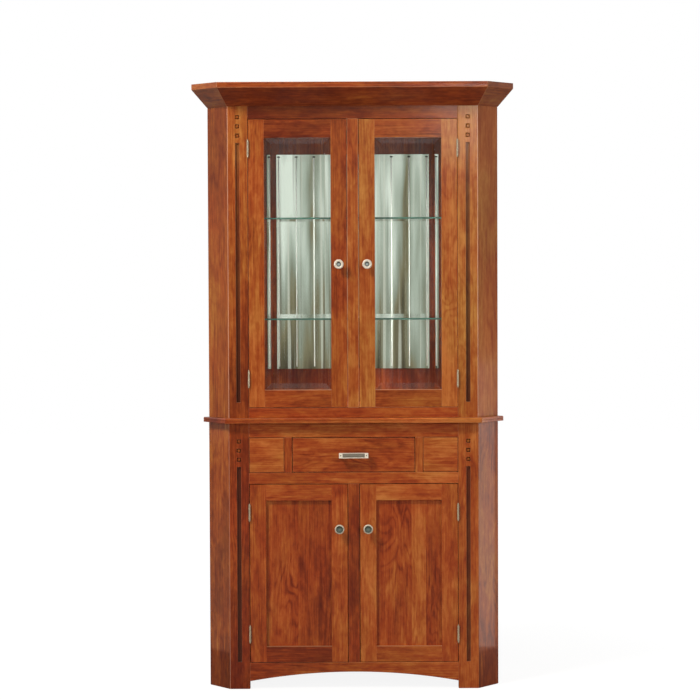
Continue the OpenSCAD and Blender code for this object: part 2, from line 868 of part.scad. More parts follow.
module knob(x, z) {
    translate([x, face_y, z]) {
        knob_body();
        screw(door_t, screw_reach);
    }
}

upper_door_z = [upper_open_z0 + reveal, upper_open_z1 - reveal];
lower_door_z = [lower_open_z0 + reveal, lower_open_z1 - reveal];
upper_hinges = [hinge_zs[0], hinge_zs[1]];
lower_hinges = [hinge_zs[2], hinge_zs[3]];

module upper_door_frame() {
    door_frame(upper_door_z[0], upper_door_z[1], upper_door_stile_w, upper_door_top_rail_h,
        upper_door_bottom_rail_h, glass_back - glass_edge_t - slack / 2, glass_edge_t + slack,
        upper_knob_z, upper_hinges);
}

module lower_door_frame() {
    door_frame(lower_door_z[0], lower_door_z[1], lower_door_stile_w, lower_door_top_rail_h,
        lower_door_bottom_rail_h, door_panel_set - slack / 2, door_panel_t + slack,
        lower_knob_z, lower_hinges);
}

// Section of a pane, from its thin edges up its bevels to its thick middle
module pane_section(open_l) {
    half = open_l / 2;
    lip = seat_depth - slack;
    polygon([
        [-half - lip, 0],
        [half + lip, 0],
        [half + lip, glass_edge_t],
        [half, glass_edge_t],
        [half - bevel_w, glass_t],
        [-half + bevel_w, glass_t],
        [-half, glass_edge_t],
        [-half - lip, glass_edge_t]
    ]);
}

// A thick pane, bevelled all round down to a thin edge that sits in the frame's groove
module upper_pane() {
    z0 = upper_door_z[0] + upper_door_bottom_rail_h;
    z1 = upper_door_z[1] - upper_door_top_rail_h;
    open_w = door_x1 - door_x0 - 2 * upper_door_stile_w;
    open_h = z1 - z0;
    translate([(door_x0 + door_x1) / 2, face_y + glass_back, (z0 + z1) / 2]) intersection() {
        translate([0, 0, -open_h / 2 - seat_depth + slack])
            linear_extrude(open_h + 2 * (seat_depth - slack)) rotate(180) pane_section(open_w);
        translate([-open_w / 2 - seat_depth + slack, 0, 0]) rotate([90, 0, 90])
            linear_extrude(open_w + 2 * (seat_depth - slack)) rotate(90) pane_section(open_h);
    }
}

// A flat wooden panel in the frame's groove
module lower_panel() {
    lip = seat_depth - slack;
    block([door_x0 + lower_door_stile_w - lip, face_y + door_panel_set,
            lower_door_z[0] + lower_door_bottom_rail_h - lip],
        [door_x1 - lower_door_stile_w + lip, face_y + door_panel_set + door_panel_t,
            lower_door_z[1] - lower_door_top_rail_h + lip]);
}

module upper_left_door_frame() { color("sienna") side(false) upper_door_frame(); }
module upper_right_door_frame() { color("sienna") side(true) upper_door_frame(); }
module upper_left_glass() { color("honeydew", 0.4) side(false) upper_pane(); }
module upper_right_glass() { color("honeydew", 0.4) side(true) upper_pane(); }
module lower_left_door_frame() { color("sienna") side(false) lower_door_frame(); }
module lower_right_door_frame() { color("sienna") side(true) lower_door_frame(); }
module lower_left_panel() { color("chocolate") side(false) lower_panel(); }
module lower_right_panel() { color("chocolate") side(true) lower_panel(); }

module upper_left_knob() {
    color("silver") side(false) knob(upper_knob_x, upper_knob_z);
}

module upper_right_knob() {
    color("silver") side(true) knob(upper_knob_x, upper_knob_z);
}

module lower_left_knob() {
    color("silver") side(false) knob(lower_knob_x, lower_knob_z);
}

module lower_right_knob() {
    color("silver") side(true) knob(lower_knob_x, lower_knob_z);
}

module upper_left_door_fittings() {
    color("silver") side(false) door_fittings(upper_open_z1, upper_hinges);
}

module upper_right_door_fittings() {
    color("silver") side(true) door_fittings(upper_open_z1, upper_hinges);
}

module lower_left_door_fittings() {
    color("silver") side(false) door_fittings(lower_open_z1, lower_hinges);
}

module lower_right_door_fittings() {
    color("silver") side(true) door_fittings(lower_open_z1, lower_hinges);
}

crown_front();
crown_left();
crown_right();
upper_top();
upper_floor();
upper_stile_left();
upper_stile_right();
upper_top_rail();
upper_bottom_rail();
upper_mullion();
upper_side_left();
upper_side_right();
upper_wall_left();
upper_wall_right();
upper_back();
back_mirror();
glass_shelves();
shelf_pins();
inlay_pegs();
waist_board();
base_stile_left();
base_stile_right();
base_top_rail();
base_mid_rail();
base_bottom_rail();
base_mullion();
drawer_dividers();
false_fronts();
base_side_left();
base_side_right();
base_wall_left();
base_wall_right();
base_back();
base_floor();
base_shelf();
drawer_runners();
hinge_frame_leaves();
hinge_pins();
door_catches();
drawer_front();
drawer_sides();
drawer_back();
drawer_bottom();
drawer_pull();
upper_left_door_frame();
upper_left_glass();
upper_left_knob();
upper_left_door_fittings();
upper_right_door_frame();
upper_right_glass();
upper_right_knob();
upper_right_door_fittings();
lower_left_door_frame();
lower_left_panel();
lower_left_knob();
lower_left_door_fittings();
lower_right_door_frame();
lower_right_panel();
lower_right_knob();
lower_right_door_fittings();
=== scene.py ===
"""Looks of the corner hutch: stained cherry, bevelled glass, a cut mirror and nickel fittings."""
import math

import bpy
from mathutils import Matrix, Vector


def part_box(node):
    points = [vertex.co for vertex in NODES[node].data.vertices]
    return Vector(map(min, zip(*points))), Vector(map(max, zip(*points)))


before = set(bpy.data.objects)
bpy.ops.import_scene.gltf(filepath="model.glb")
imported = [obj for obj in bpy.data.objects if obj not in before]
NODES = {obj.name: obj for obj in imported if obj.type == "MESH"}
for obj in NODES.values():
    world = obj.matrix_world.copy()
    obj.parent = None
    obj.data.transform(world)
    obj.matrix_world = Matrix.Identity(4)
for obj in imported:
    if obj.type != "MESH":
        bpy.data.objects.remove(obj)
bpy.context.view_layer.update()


def mid(node):
    """The middle of a CAD node's box."""
    low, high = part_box(node)
    return (low + high) / 2


# The plane of the case's front, and where its front corner is
FACE_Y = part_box("upper_top_rail")[0].y
CORNER_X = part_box("upper_stile_right")[1].x

# The camera: metres, degrees, and a shift in widths of the picture
CAMERA_AWAY = 6.4
CAMERA_HEIGHT = 1.4635
CAMERA_TILT = 1.66
CAMERA_ROLL = -0.222
LENS = 98.36
SHIFT = (-0.0044, -0.0583)

FLOOR_HALF = 9

# Lamp: place, target, size, power and colour
LAMPS = {
    "key": ((-2.9, -2.5, 4.7), (0, 0, 1.0), (0.9, 0.9), 240, (1.0, 0.95, 0.88)),
    "left_strip": ((-3.2, -3.4, 1.5), (0, 0, 1.2), (0.5, 2.6), 30, (1.0, 0.98, 0.95)),
    "right_strip": ((3.3, -3.5, 1.9), (0, 0, 1.3), (0.6, 2.4), 60, (1.0, 0.97, 0.93)),
    "right_card": ((1.10, -0.168, 0.53), (0, -0.168, 0.53), (0.34, 1.06), 2.0,
                   (1.0, 0.88, 0.80)),
    "sheen": ((0.95, -6.3, 2.5), (0, 0, 1.4), (0.8, 0.8), 22, (1.0, 0.92, 0.84)),
}
# The same for the one inside the display case, which shines down at an angle
INNER_LAMP = ((0, 0.03, 1.90), (0, 0.11, 1.0), (0.5, 0.06), 1.6, (1.0, 0.96, 0.90))
INNER_SPREAD = 50

# Camera and lamps


def make_camera():
    data = bpy.data.cameras.new("camera")
    data.sensor_fit = "HORIZONTAL"
    data.sensor_width = 36
    data.lens = LENS
    data.shift_x, data.shift_y = SHIFT
    data.clip_end = 60
    camera = bpy.data.objects.new("camera", data)
    bpy.context.scene.collection.objects.link(camera)
    place = Matrix.Translation((0.0, FACE_Y - CAMERA_AWAY, CAMERA_HEIGHT))
    turn = Matrix.Rotation(math.radians(90 - CAMERA_TILT), 4, "X")
    turn = turn @ Matrix.Rotation(math.radians(CAMERA_ROLL), 4, "Z")
    camera.matrix_world = place @ turn
    bpy.context.scene.camera = camera


def area_lamp(name, place, target, size, power, colour, spread=180, hidden=False):
    """A lamp that isn't seen itself, and a hidden one has no reflections either."""
    data = bpy.data.lights.new(name, "AREA")
    data.spread = math.radians(spread)
    data.shape = "RECTANGLE"
    data.size, data.size_y = size
    data.energy = power
    data.color = colour
    lamp = bpy.data.objects.new(name, data)
    lamp.visible_camera = False
    lamp.visible_transmission = False
    lamp.visible_glossy = not hidden
    bpy.context.scene.collection.objects.link(lamp)
    aim = (Vector(target) - Vector(place)).to_track_quat("-Z", "Y")
    lamp.matrix_world = Matrix.Translation(place) @ aim.to_matrix().to_4x4()


# Node trees


class Tree:
    """A short way to write a material's or the world's nodes."""

    def __init__(self, owner):
        owner.use_nodes = True
        self.tree = owner.node_tree
        self.tree.nodes.clear()

    def add(self, kind, inputs=None, **settings):
        node = self.tree.nodes.new("ShaderNode" + kind)
        for key, value in settings.items():
            setattr(node, key, value)
        for key, value in (inputs or {}).items():
            self.put(node.inputs[key], value)
        return node

    def put(self, socket, value):
        if isinstance(value, bpy.types.NodeSocket):
            self.tree.links.new(value, socket)
        elif isinstance(value, bpy.types.Node):
            self.tree.links.new(value.outputs[0], socket)
        else:
            socket.default_value = value

    def place(self):
        return self.add("TexCoord").outputs["Object"]

    def split(self, vector):
        return self.add("SeparateXYZ", {0: vector}).outputs[:3]

    def math(self, operation, a, b=None, c=None):
        values = {i: v for i, v in enumerate((a, b, c)) if v is not None}
        return self.add("Math", values, operation=operation).outputs[0]

    def vector(self, operation, a, b=None):
        values = {i: v for i, v in enumerate((a, b)) if v is not None}
        node = self.add("VectorMath", values, operation=operation)
        return node.outputs["Value" if operation in ("LENGTH", "DISTANCE") else "Vector"]

    def noise(self, vector, scale, detail=2.0, rough=0.5, distortion=0.0, place=(0, 0, 0)):
        """Noise with its own scale along each axis."""
        moved = self.add("Mapping", {"Vector": vector, "Scale": scale, "Location": place})
        values = {"Vector": moved, "Scale": 1.0, "Detail": detail, "Roughness": rough,
                  "Distortion": distortion}
        return self.add("TexNoise", values).outputs[0]

    def span(self, value, low, high, to_low=0.0, to_high=1.0):
        """From to_low to to_high as value goes from low to high, and level beyond them."""
        values = {"Value": value, "From Min": low, "From Max": high, "To Min": to_low,
                  "To Max": to_high}
        return self.add("MapRange", values).outputs[0]

    def off(self, value, middle):
        """How far value lies from middle."""
        return self.math("ABSOLUTE", self.math("SUBTRACT", value, middle))

    def near(self, value, middle, half):
        """1 where value lies within half of middle, otherwise 0."""
        return self.math("LESS_THAN", self.off(value, middle), half)

    def ramp(self, value, stops):
        node = self.add("ValToRGB", {"Fac": value})
        ramp = node.color_ramp
        while len(ramp.elements) < len(stops):
            ramp.elements.new(0.5)
        for element, (position, colour) in zip(ramp.elements, stops):
            element.position = position
            element.color = (*colour, 1)
        return node.outputs[0]

    def mix(self, share, a, b, kind="MIX"):
        """Colour a with a share of colour b. Its colours go in at 6 and 7 and come out at 2."""
        node = self.add("Mix", data_type="RGBA", blend_type=kind)
        for socket, value in ((0, share), (6, a), (7, b)):
            self.put(node.inputs[socket], (*value, 1) if isinstance(value, tuple) else value)
        return node.outputs[2]

    def choose(self, share, a, b):
        """Number a with a share of number b."""
        node = self.add("Mix", data_type="FLOAT")
        for socket, value in ((0, share), (2, a), (3, b)):
            self.put(node.inputs[socket], value)
        return node.outputs[0]

    def bump(self, height, strength, distance):
        values = {"Height": height, "Strength": strength, "Distance": distance}
        return self.add("Bump", values).outputs[0]

    def blend(self, share, a, b):
        """Shader a with a share of shader b."""
        return self.add("MixShader", {0: share, 1: a, 2: b})

    def surface(self, shader):
        self.put(self.add("OutputMaterial").inputs["Surface"], shader)


def new_material(name):
    material = bpy.data.materials.new(name)
    return material, Tree(material)


def mirrored_room(t, way, z):
    """What the mirror shows of the room: pale upright shapes that darken towards the floor,
    with bright and dark lines."""
    shapes = t.span(t.noise(way, (130, 1, 12), rough=0.45), 0.2, 0.8)
    shapes = t.ramp(t.math("MULTIPLY", shapes, t.span(z, -0.065, 0.0, 0.38, 1.0)), [
        (0.15, (0.075, 0.060, 0.040)),
        (0.27, (0.27, 0.22, 0.14)),
        (0.35, (0.33, 0.33, 0.27)),
        (0.54, (0.54, 0.55, 0.49)),
        (0.76, (0.95, 0.93, 0.87)),
    ])
    bright = t.noise(way, (520, 1, 5), detail=1.0, rough=0.4)
    shapes = t.mix(t.span(bright, 0.585, 0.625, 0.0, 0.6), shapes, (0.80, 0.74, 0.66))
    dark = t.noise(way, (460, 1, 6), detail=1.0, place=(7, 3, 5))
    return t.mix(t.span(dark, 0.60, 0.66, 0.0, 0.35), shapes, (0.13, 0.11, 0.08))


def make_world():
    """White where the camera looks past the part or through its glass. The room that lights
    it is white behind and beside it, and dimmer in front, but the mirror shows the front as
    pale upright shapes."""
    world = bpy.data.worlds.new("studio")
    bpy.context.scene.world = world
    t = Tree(world)
    way = t.add("TexCoord").outputs["Generated"]
    x, y, z = t.split(way)
    level = t.math("MULTIPLY", t.span(y, -0.9, 0.35, 0.09, 0.75),
                   t.span(z, -0.5, 0.3, 0.35, 1.0))
    path = t.add("LightPath")
    through = path.outputs["Is Transmission Ray"]
    sharp = t.math("MAXIMUM", through, path.outputs["Is Singular Ray"])
    ahead = t.math("MULTIPLY", t.math("LESS_THAN", y, 0.1),
                   t.math("GREATER_THAN", path.outputs["Glossy Depth"], 0.5))
    past = t.math("MULTIPLY", through, t.math("SUBTRACT", 1.0, ahead))
    seen = t.math("MAXIMUM", path.outputs["Is Camera Ray"], past)
    room = t.add("Background", {"Color": (1.0, 0.99, 0.97, 1), "Strength": level})
    mirrored = t.add("Background", {"Color": mirrored_room(t, way, z), "Strength": 1.0})
    white = t.add("Background", {"Color": (1, 1, 1, 1), "Strength": 1.0})
    room = t.blend(t.math("MULTIPLY", sharp, ahead), room, mirrored)
    t.put(t.add("OutputWorld").inputs["Surface"], t.blend(seen, room, white))


def make_floor():
    """A floor that takes shadows, and that the camera sees as near white."""
    mesh = bpy.data.meshes.new("floor")
    corners = [(x * FLOOR_HALF, y * FLOOR_HALF, 0) for x, y in ((-1, -1), (1, -1), (1, 1), (-1, 1))]
    mesh.from_pydata(corners, [], [(0, 1, 2, 3)])
    floor = bpy.data.objects.new("floor", mesh)
    bpy.context.scene.collection.objects.link(floor)
    material, t = new_material("floor")
    spot = t.place()
    path = t.add("LightPath")
    seen = t.math("MAXIMUM", path.outputs["Is Camera Ray"], path.outputs["Is Transmission Ray"])
    seen = t.math("MAXIMUM", seen, path.outputs["Is Singular Ray"])
    speck = t.noise(spot, (3, 3, 3), detail=3)
    pale = t.ramp(speck, [(0.3, (0.88, 0.875, 0.865)), (0.7, (0.91, 0.905, 0.895))])
    plain = t.add("BsdfDiffuse", {"Color": t.mix(seen, (0.30, 0.28, 0.26), pale)})
    white = t.add("Emission", {"Color": (1, 1, 1, 1), "Strength": 1.04})
    near = t.span(t.vector("LENGTH", spot), 0.7, 2.0, 0.86, 1.0)
    t.surface(t.blend(t.math("MULTIPLY", seen, near), plain, white))
    mesh.materials.append(material)


# Wood

CHERRY = [
    (0.00, (0.085, 0.0090, 0.0012)),
    (0.24, (0.145, 0.0185, 0.0025)),
    (0.40, (0.200, 0.0300, 0.0045)),
    (0.55, (0.284, 0.0470, 0.0075)),
    (0.72, (0.358, 0.0770, 0.0125)),
    (1.00, (0.500, 0.1480, 0.0340)),
]
POPLAR = [
    (0.00, (0.300, 0.170, 0.070)),
    (0.35, (0.450, 0.290, 0.135)),
    (0.70, (0.570, 0.400, 0.220)),
    (1.00, (0.660, 0.500, 0.310)),
]
# From red to orange, as a factor of the colour
HUES = [
    (0.36, (1.0, 0.84, 0.76)),
    (0.50, (1.0, 0.94, 0.88)),
    (0.64, (1.0, 1.07, 0.96)),
]
# Painted shade for a stile's recesses, and painted highlights for the case's front corner, the top
# edge of a door's bottom rail and the eased edges
PAINTED_RECESS_SHADE = (0.045, 0.0095, 0.003)
PAINTED_CORNER_HIGHLIGHT = (0.66, 0.38, 0.27)
PAINTED_SILL_HIGHLIGHT = (0.64, 0.31, 0.15)
PAINTED_EDGE_HIGHLIGHT = (0.66, 0.33, 0.18)

# Marks on the boards, in metres: half the width of the painted highlight on the front corner and of
# the one on the sill, and the middle, half width and least depth of the recesses in a stile, which
# get painted shade
CORNER_HIGHLIGHT_HALF = 0.0022
SILL_HIGHLIGHT_HALF = 0.0021
STILE_MID = 0.385
RECESS_HALF = 0.00715
RECESS_DEPTH = 0.0014


def ring_tone(t, local, flame):
    """Growth rings: contour lines of a soft field that is stretched along the grain."""
    field = t.noise(local, (8.5, 8.5, 1.9), distortion=0.7)
    lines = t.math("MULTIPLY_ADD", t.math("SINE", t.math("MULTIPLY", field, 85.0)), 0.5, 0.5)
    lines = t.math("POWER", lines, 2.6)
    fade = t.noise(local, (7.0, 7.0, 3.0), detail=1.0, place=(3.1, 0.7, 1.9))
    depth = t.span(fade, 0.42, 0.70, -0.01, -0.17 * flame)
    return t.math("MULTIPLY_ADD", lines, depth, 0.02 * flame)


def frame_boards(t, x, z, frame_parts):
    """Tells a door frame's four boards apart: 1 on its rails, each board's own shift of the
    figure and tone, and the ways along and across its grain."""
    x0, x1, height, left, right, bottom, top = frame_parts
    rail = t.near(x, (x0 + x1) / 2, (x1 - x0) / 2)
    upper = t.math("GREATER_THAN", z, height)
    outer = t.math("GREATER_THAN", x, (x0 + x1) / 2)
    shift = t.choose(rail, t.math("MULTIPLY", outer, 2.3),
                     t.math("MULTIPLY_ADD", upper, 3.7, 5.3))
    tone = t.choose(rail, t.choose(outer, left, right), t.choose(upper, bottom, top))
    return rail, shift, tone, t.choose(rail, z, x), t.choose(rail, x, z)


def wood(name, grain, seed, tone, warm, turn=0.0, frame_parts=None, sill=0.0, planks=(),
         stops=CHERRY, rough=0.34, coat=0.25, coat_rough=0.12, flame=1.0, blotch=1.0, shade=(),
         recess_shade=0.0, corner_highlight=0.0, edge=0.0):
    """Wood with its grain along one axis, turned about Z by turn degrees.

    tone: 0 is the middle of the stain. warm: from red to orange.
    frame_parts: span in x of a door's rails, height that parts them, and the tones of the
    left stile, right stile, bottom rail and top rail. sill: height of its bottom rail's
    top edge, which gets a painted highlight.
    planks: seams of glued boards, each with the tone that it adds beyond it.
    flame and blotch: strength of the rings and of the mottling.
    shade: painted light and shade: an axis, a span along it and the tone that is added at the
    span's end.
    recess_shade: how dark a stile's recesses are painted, a painted shade.
    corner_highlight: how much paler the case's front corner is painted, a painted highlight along
    it.
    rough and coat: one value, or a span in z with the values at its ends.
    edge: how much paler the eased edges are painted, a painted highlight along them."""
    material, t = new_material(name)
    place = t.place()
    if turn:
        place = t.add("Mapping", {"Vector": place, "Rotation": (0, 0, math.radians(turn))})
    x, y, z = t.split(place)
    along, across = (x, z) if grain == "x" else (z, x)
    shift = 0.0
    level = 0.5 + tone
    if frame_parts:
        rail, shift, board_tone, along, across = frame_boards(t, x, z, frame_parts)
        level = t.math("ADD", level, board_tone)
    for seam, change in planks:
        beyond = t.math("GREATER_THAN", across, seam)
        shift = t.math("MULTIPLY_ADD", beyond, 1.37, shift)
        level = t.math("MULTIPLY_ADD", beyond, change, level)
    local = t.add("CombineXYZ", {0: across, 1: y, 2: along})
    local = t.vector("ADD", local, t.add("CombineXYZ", {0: shift, 1: shift, 2: shift}))
    local = t.vector("ADD", local, (seed * 1.31, seed * 0.77, seed * 2.17))

    level = t.math("ADD", level, ring_tone(t, local, flame))
    mottle = t.noise(local, (26, 26, 8.5), detail=3.0, rough=0.55, distortion=0.8)
    drift = t.noise(local, (8.5, 8.5, 2.1), place=(0.4, 2.2, 5.1))
    speckle = t.noise(local, (80, 80, 42), rough=0.6, distortion=0.5)
    pores = t.noise(local, (260, 260, 7.0), rough=0.65)
    fibres = t.noise(local, (1100, 1100, 34), detail=1.0)
    for part, share in ((mottle, 0.72 * blotch), (drift, 0.52), (speckle, 0.42 * blotch),
                        (pores, 0.72), (fibres, 0.34)):
        level = t.math("MULTIPLY_ADD", t.math("SUBTRACT", part, 0.5), share, level)
    # Painted light and shade, added along an axis
    for axis, low, high, amount in shade:
        spot = {"x": x, "y": y, "z": z}[axis]
        level = t.math("ADD", level, t.span(spot, low, high, 0.0, amount))

    colour = t.ramp(level, stops)
    hue = t.noise(local, (13, 13, 4.0), rough=0.55, place=(7.7, 4.2, 0.6))
    hue = t.ramp(t.math("MULTIPLY_ADD", t.math("SUBTRACT", mottle, 0.5), 0.5, hue), HUES)
    colour = t.mix(1.0 if stops is CHERRY else 0.2, colour, hue, "MULTIPLY")
    if warm:
        tint = (1.0 - 0.06 * warm, 1.0 + 0.30 * warm, 1.0 + 0.30 * warm)
        colour = t.mix(1.0, colour, tint, "MULTIPLY")
    # Painted shade in a stile's recesses, darker lower down
    if recess_shade:
        shaded_recess = t.math("MULTIPLY", t.math("GREATER_THAN", y, FACE_Y + RECESS_DEPTH),
                      t.near(t.math("ABSOLUTE", x), STILE_MID, RECESS_HALF))
        shaded_recess = t.math("MULTIPLY", shaded_recess, t.span(z, 1.0, 1.85, 0.82 * recess_shade, 0.42 * recess_shade))
        colour = t.mix(shaded_recess, colour, PAINTED_RECESS_SHADE)
    # Painted highlight along the case's front corner
    if corner_highlight:
        corner = t.near(t.math("ABSOLUTE", x), CORNER_X, CORNER_HIGHLIGHT_HALF)
        colour = t.mix(t.math("MULTIPLY", corner, corner_highlight), colour, PAINTED_CORNER_HIGHLIGHT)
    # Painted highlight along the top edge of a door's bottom rail
    if frame_parts:
        sill_highlight = t.math("MULTIPLY", rail, t.near(z, sill, SILL_HIGHLIGHT_HALF))
        colour = t.mix(t.math("MULTIPLY", sill_highlight, 0.33), colour, PAINTED_SILL_HIGHLIGHT)
    coat, rough = (t.span(z, *v) if isinstance(v, tuple) else v for v in (coat, rough))
    # Painted highlight: the eased edges are painted paler
    if edge:
        colour = t.mix(edge, colour, PAINTED_EDGE_HIGHLIGHT)
        coat = 0.3 * edge
    t.surface(t.add("BsdfPrincipled", {
        "Base Color": colour,
        "Roughness": t.math("ADD", t.span(pores, 0.3, 0.7, -0.03, 0.06), rough),
        "Coat Weight": coat, "Coat Roughness": coat_rough, "Coat IOR": 1.5, "IOR": 1.45,
        "Specular IOR Level": 0.32, "Normal": t.bump(fibres, 0.10, 0.0003)}))
    return material


def wood_pair(name, grain, seed, tone, warm, edge, **more):
    """The wood of a board's faces, and the wood of its eased edges, painted paler as a highlight.
    """
    return (wood(name, grain, seed, tone, warm, **more),
            wood(f"{name}_edge", grain, seed, tone, warm, edge=edge, **more))


# Metal, glass, mirror and plastic

NICKEL = (0.93, 0.86, 0.73)
WORN_NICKEL = (0.66, 0.60, 0.48)
HINGE_NICKEL = (0.47, 0.40, 0.28)
STEEL = (0.60, 0.60, 0.60)
TARNISH = (0.060, 0.048, 0.030)
PANE_TINT = (0.955, 0.985, 0.970)
SHELF_TINT = (0.93, 0.975, 0.955)
SHELF_EDGE = (0.05, 0.125, 0.095)
CATCH_BROWN = (0.10, 0.07, 0.05)

# A knob's dish, in metres: heights between which its top darkens with a painted reflection, the
# radius of its pale middle, and how far its rim's shade reaches in and out
DISH_REFLECTION_TOP = (0.0015, 0.0065)
DISH_MIDDLE = 0.002
DISH_RIM = (0.0006, 0.0008)

# The pull's reeded field and the dot on each of its ends, in metres from its middle, and the
# depths between which a groove of the reeds darkens
REEDS_HALF = (0.0372, 0.0066)
DOT_AWAY = 0.0432
DOT_RADIUS = 0.0019
GROOVE_DEPTH = (0.0001, 0.0006)

# The mirror's cut lines: from its edge to the first, from one to the next, and the oval
CUT_MARGIN = 0.008
CUT_PITCH = 0.0612
OVAL_HALF = 0.0056
OVAL_FLATNESS = 2.2


def metal(name, colour, rough, metallic=0.25, marks=None):
    """Plated metal. marks gives, from the tree, the colour and x, y and z, the colour with
    its dark parts."""
    material, t = new_material(name)
    place = t.place()
    cloud = t.noise(place, (90, 90, 90))
    fine = t.noise(place, (240, 240, 240))
    shade = t.ramp(cloud, [(0.35, tuple(c * 0.88 for c in colour)), (0.62, colour)])
    if marks:
        shade = marks(t, shade, *t.split(place))
    t.surface(t.add("BsdfPrincipled", {
        "Base Color": shade, "Metallic": metallic,
        "Roughness": t.span(fine, 0.3, 0.7, rough * 0.8, rough * 1.25)}))
    return material


def knob_metal(node, colour, radius, pale, dark):
    """A knob whose dished middle is dark with patina, and darker at its top with a painted
    reflection.
    """
    middle = mid(node)

    def dish(t, shade, x, y, z):
        flat = t.add("CombineXYZ", {0: x, 1: 0.0, 2: z})
        away = t.vector("DISTANCE", flat, (middle.x, 0, middle.z))
        # Painted reflection: the dish darkens towards its top
        top = t.span(z, middle.z + DISH_REFLECTION_TOP[0], middle.z + DISH_REFLECTION_TOP[1])
        patina_and_reflection = t.mix(top, t.mix(t.span(away, DISH_MIDDLE, radius), pale, dark), dark)
        inside = t.span(away, radius - DISH_RIM[0], radius + DISH_RIM[1], 1.0, 0.0)
        return t.mix(inside, shade, patina_and_reflection)

    return metal(node, colour, 0.2, marks=dish)


def pull_metal(node):
    """A pull whose reeds have darkened, with a dark dot on each square end."""
    middle = mid(node)
    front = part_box(node)[0].y

    def reeds(t, shade, x, y, z):
        away = t.off(x, middle.x)
        height = t.off(z, middle.z)
        field = t.math("MULTIPLY", t.math("LESS_THAN", away, REEDS_HALF[0]),
                       t.math("LESS_THAN", height, REEDS_HALF[1]))
        groove = t.span(y, front + GROOVE_DEPTH[0], front + GROOVE_DEPTH[1], 0.72, 1.0)
        spot = t.add("CombineXYZ", {0: away, 1: 0.0, 2: z})
        dot = t.math("LESS_THAN", t.vector("DISTANCE", spot, (DOT_AWAY, 0, middle.z)),
                     DOT_RADIUS)
        return t.mix(t.math("MAXIMUM", t.math("MULTIPLY", field, groove), dot), shade, TARNISH)

    return metal(node, NICKEL, 0.15, metallic=0.1, marks=reeds)


def clear_glass(name, tint, edge=None):
    """Glass that lets lamps through. edge is the colour of the faces that stand upright."""
    material, t = new_material(name)
    place = t.place()
    haze = t.noise(place, (9, 9, 9))
    shader = t.add("BsdfPrincipled", {
        "Base Color": (*tint, 1), "Roughness": t.span(haze, 0.35, 0.7, 0.0045, 0.010),
        "IOR": 1.5, "Transmission Weight": 1.0})
    if edge:
        normal = t.split(t.add("NewGeometry").outputs["Normal"])
        side = t.math("LESS_THAN", t.math("ABSOLUTE", normal[2]), 0.5)
        band = t.noise(place, (12, 12, 160), detail=1.0)
        green = t.add("BsdfPrincipled", {
            "Base Color": t.ramp(band, [(0.35, tuple(c * 0.7 for c in edge)), (0.65, edge)]),
            "Roughness": 0.08, "IOR": 1.5})
        shader = t.blend(side, shader, green)
    free = t.add("BsdfTransparent", {"Color": (*(c ** 0.5 for c in tint), 1)})
    t.surface(t.blend(t.add("LightPath").outputs["Is Shadow Ray"], shader, free))
    return material


def silvered(node):
    """A mirror with frosted cut lines, each with a dark oval at its top."""
    material, t = new_material(node)
    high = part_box(node)[1]
    x, y, z = t.split(t.place())
    cloud = t.noise(t.place(), (5, 5, 2.5), detail=3.0)
    step = t.math("SUBTRACT", high.x - CUT_MARGIN, t.math("ABSOLUTE", x))
    step = t.math("PINGPONG", step, CUT_PITCH / 2)
    rise = t.math("MULTIPLY", t.math("SUBTRACT", z, high.z - CUT_MARGIN), OVAL_FLATNESS)
    away = t.vector("LENGTH", t.add("CombineXYZ", {0: step, 1: rise, 2: 0.0}))
    oval = t.math("LESS_THAN", away, OVAL_HALF)
    normal = t.split(t.add("NewGeometry").outputs["Normal"])
    cut = t.math("GREATER_THAN", t.math("ABSOLUTE", normal[0]), 0.3)
    clean = t.add("BsdfPrincipled", {
        "Base Color": t.ramp(cloud, [(0.3, (0.80, 0.87, 0.82)), (0.7, (0.85, 0.90, 0.86))]),
        "Metallic": 1.0, "Roughness": 0.0})
    frosted = t.add("BsdfPrincipled", {
        "Base Color": t.ramp(cloud, [(0.3, (0.80, 0.85, 0.81)), (0.7, (0.88, 0.92, 0.89))]),
        "Metallic": 0.0, "Roughness": 0.25})
    dark = t.add("BsdfPrincipled", {
        "Base Color": t.ramp(cloud, [(0.3, (0.016, 0.014, 0.010)), (0.7, (0.030, 0.026, 0.020))]),
        "Roughness": 0.5})
    t.surface(t.blend(oval, t.blend(cut, clean, frosted), dark))
    return material


def plastic(name, colour):
    material, t = new_material(name)
    grain = t.noise(t.place(), (700, 700, 700))
    t.surface(t.add("BsdfPrincipled", {
        "Base Color": t.ramp(grain, [(0.3, tuple(c * 0.8 for c in colour)), (0.7, colour)]),
        "Roughness": t.span(grain, 0.3, 0.7, 0.45, 0.6),
        "Normal": t.bump(grain, 0.2, 0.0002)}))
    return material


def dress(node, material, edge=0.0, segments=2, limit=30.0, edge_material=None):
    """Gives a CAD node its material, and takes the sharpness off its edges by edge metres."""
    piece = NODES[node]
    piece.data.materials.clear()
    piece.data.materials.append(material)
    if edge_material:
        piece.data.materials.append(edge_material)
    if edge:
        weld = piece.modifiers.new("weld", "WELD")
        weld.merge_threshold = 1e-5
        bevel = piece.modifiers.new("edges", "BEVEL")
        bevel.width = edge
        bevel.segments = segments
        bevel.limit_method = "ANGLE"
        bevel.angle_limit = math.radians(limit)
        bevel.use_clamp_overlap = True
        if edge_material:
            bevel.material = 1
        normals = piece.modifiers.new("normals", "WEIGHTED_NORMAL")
        normals.weight = 100


# The boards

WALL = {"coat": 0.05, "rough": 0.45}
LIT_WALL = {**WALL, "shade": [("z", 1.2, 1.8, 0.18)]}
PALE = {"stops": POPLAR, "coat": 0.1, "rough": 0.42}
# The case's top is out of sight, and left without a finish
TOP = (2.0312, 2.0316)
BARE_TOP = {"coat": (*TOP, 0.25, 0.0), "rough": (*TOP, 0.34, 0.75)}
